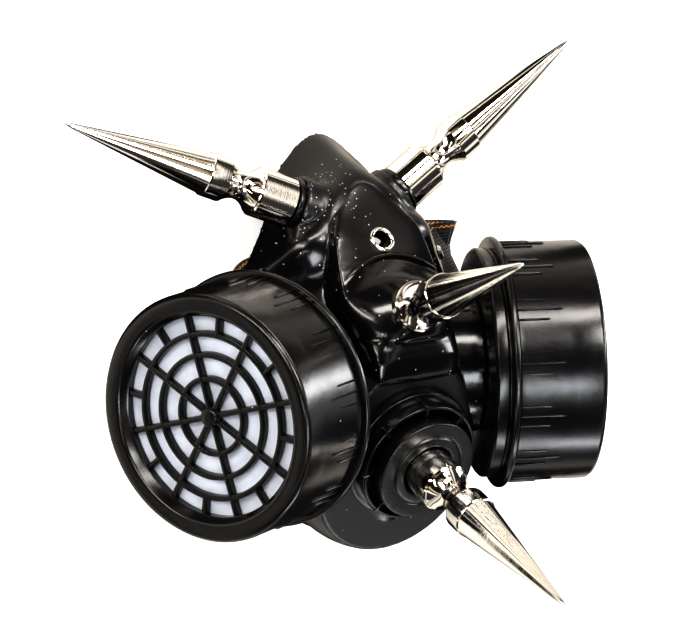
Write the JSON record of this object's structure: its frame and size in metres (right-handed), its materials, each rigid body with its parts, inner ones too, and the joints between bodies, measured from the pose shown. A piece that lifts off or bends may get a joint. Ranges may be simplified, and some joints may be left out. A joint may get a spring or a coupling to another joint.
{
  "type": "gas mask style costume half mask",
  "caption": "Glossy black half mask with round web-fronted filter drums at the sides, a front valve, screwed metal spikes, an eyelet and an elastic strap.",
  "frame": {"origin": "middle of the bounding box's bottom, on the surface that the mask lies on", "axes": "+X towards the wearer's left drum, +Y towards the nose bridge, +Z from the open back towards the front with the spikes"},
  "size_m": [0.1936, 0.1674, 0.1506],
  "materials": {
    "rubber": "high gloss moulded",
    "plastic": "satin",
    "steel": "polished nickel",
    "felt": "fine felt",
    "webbing": "woven elastic with an orange zig-zag thread"
  },
  "bodies": {
    "root": {"facepiece": "rubber", "drum_cap_right": "plastic", "drum_cap_left": "plastic", "drum_housing_right": "plastic", "drum_housing_left": "plastic", "filter_pad_right": "felt", "filter_pad_left": "felt", "valve_body": "plastic", "valve_cap": "plastic", "spike_right": "steel", "spike_left": "steel", "spike_middle": "steel", "spike_valve": "steel", "spike_washer_right": "plastic", "spike_washer_left": "plastic", "eyelet": "steel", "strap": "webbing", "strap_rivet_right": "steel", "strap_rivet_left": "steel"}
  },
  "joints": []
}
